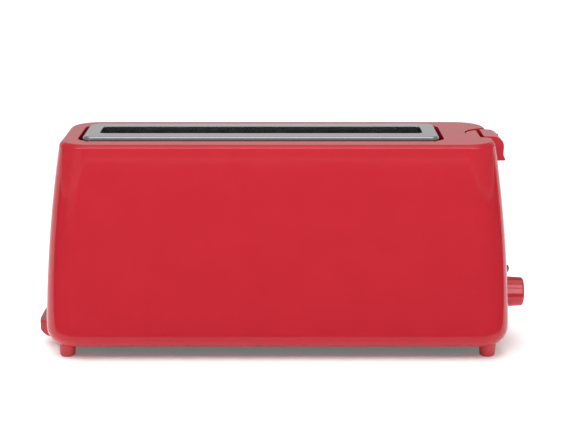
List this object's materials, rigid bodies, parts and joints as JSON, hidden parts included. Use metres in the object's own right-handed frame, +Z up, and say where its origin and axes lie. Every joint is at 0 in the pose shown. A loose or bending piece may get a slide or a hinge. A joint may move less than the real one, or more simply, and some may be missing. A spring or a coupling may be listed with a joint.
{
  "type": "pop up toaster",
  "caption": "Long-slot pop up toaster: lean-sided gloss red shell, bright top plate, end lever, stop button, browning knob and crumb tray.",
  "frame": {"origin": "centre of the whole toaster's footprint, on the surface that it stands on", "axes": "+X along the slot towards the lever, button and knob; +Y from the front to the back; +Z up"},
  "size_m": [0.4096, 0.1272, 0.1813],
  "materials": {
    "shell_red": "high-gloss moulded plastic, red",
    "part_red": "gloss moulded plastic, red",
    "plate_metal": "bright satin stainless steel",
    "base_black": "matt dark moulded plastic",
    "gloss_black": "gloss black plastic",
    "inner_black": "matt black plastic",
    "rubber_black": "black rubber",
    "screw_steel": "zinc-plated steel",
    "chamber_sheet": "aluminised sheet steel",
    "tray_sheet": "galvanised sheet steel",
    "wire_chrome": "bright plated wire",
    "lift_steel": "plated stamped steel",
    "rod_chrome": "ground plated rod",
    "spring_steel": "spring steel wire",
    "soft_iron": "soft iron",
    "mica_board": "pressed mica sheet",
    "heater_ribbon": "resistance ribbon, lightly oxidised",
    "bobbin_white": "white moulded nylon",
    "coil_copper": "enamelled copper winding",
    "board_green": "green circuit board",
    "shaft_steel": "turned steel",
    "can_blue": "sleeved capacitor can",
    "ceramic_white": "cement-filled ceramic body",
    "contact_brass": "spring brass",
    "lead_brown": "brown insulated lead",
    "lead_blue": "blue insulated lead",
    "lead_white": "glass-fibre sleeved lead"
  },
  "bodies": {
    "shell": {"housing": "shell_red", "top_plate": "plate_metal", "base_plate": "base_black", "feet": "part_red", "foot_screws": "screw_steel", "base_screws": "screw_steel", "guide_rod": "rod_chrome", "return_spring": "spring_steel", "top_bracket": "lift_steel", "top_bumper": "rubber_black", "end_plate_left": "chamber_sheet", "end_plate_right": "chamber_sheet", "reflector_front": "chamber_sheet", "reflector_back": "chamber_sheet", "mica_front": "mica_board", "mica_back": "mica_board", "winding_front": "heater_ribbon", "winding_back": "heater_ribbon", "heater_link": "heater_ribbon", "chassis_screws": "screw_steel", "magnet_bracket": "lift_steel", "magnet_core": "soft_iron", "magnet_bobbin": "bobbin_white", "magnet_coil": "coil_copper", "control_board": "board_green", "potentiometer": "inner_black", "stop_switch": "inner_black", "timer_chip": "inner_black", "capacitor": "can_blue", "dropper_resistor": "ceramic_white", "terminal_block": "bobbin_white", "cord_gland": "gloss_black", "contact_front": "contact_brass", "contact_back": "contact_brass", "lead_live": "lead_brown", "lead_neutral": "lead_blue", "lead_heater_front": "lead_white", "lead_heater_back": "lead_white"},
    "lift": {"lever_cap": "part_red", "carriage": "lift_steel", "bread_rack": "wire_chrome", "rack_rivets": "screw_steel", "keeper": "soft_iron"},
    "tray": {"crumb_tray": "tray_sheet", "tray_handle": "part_red"},
    "knob": {"browning_knob": "part_red", "pot_shaft": "shaft_steel"},
    "button": {"stop_button": "gloss_black"},
    "front_guard": {"guard_front": "wire_chrome"},
    "back_guard": {"guard_back": "wire_chrome"}
  },
  "joints": [
    {"name": "lever_slide", "type": "slide", "parent": "shell", "child": "lift", "axis": [0, 0, -1], "range_m": [0, 0.072], "stiffness_N_per_m": 60, "springref_m": -0.06, "deforming": ["return_spring"]},
    {"name": "tray_slide", "type": "slide", "parent": "shell", "child": "tray", "axis": [-1, 0, 0], "range_m": [0, 0.26]},
    {"name": "knob_turn", "type": "hinge", "parent": "shell", "child": "knob", "pos_m": [0.18, 0, 0.0419], "axis": [-1, 0, 0], "range_deg": [0, 270]},
    {"name": "button_press", "type": "slide", "parent": "shell", "child": "button", "axis": [-1, 0, 0], "range_m": [0, 0.0015], "stiffness_N_per_m": 400, "springref_m": -0.001},
    {"name": "front_guard_tilt", "type": "hinge", "parent": "shell", "child": "front_guard", "pos_m": [0, -0.0155, 0.024], "axis": [-1, 0, 0], "range_deg": [0, 3.2]},
    {"name": "back_guard_tilt", "type": "hinge", "parent": "shell", "child": "back_guard", "pos_m": [0, 0.0155, 0.024], "axis": [1, 0, 0], "range_deg": [0, 3.2]}
  ],
  "couplings": [
    {"joint": "front_guard_tilt", "follows": "lever_slide", "rad_per_m": 0.775},
    {"joint": "back_guard_tilt", "follows": "lever_slide", "rad_per_m": 0.775}
  ]
}
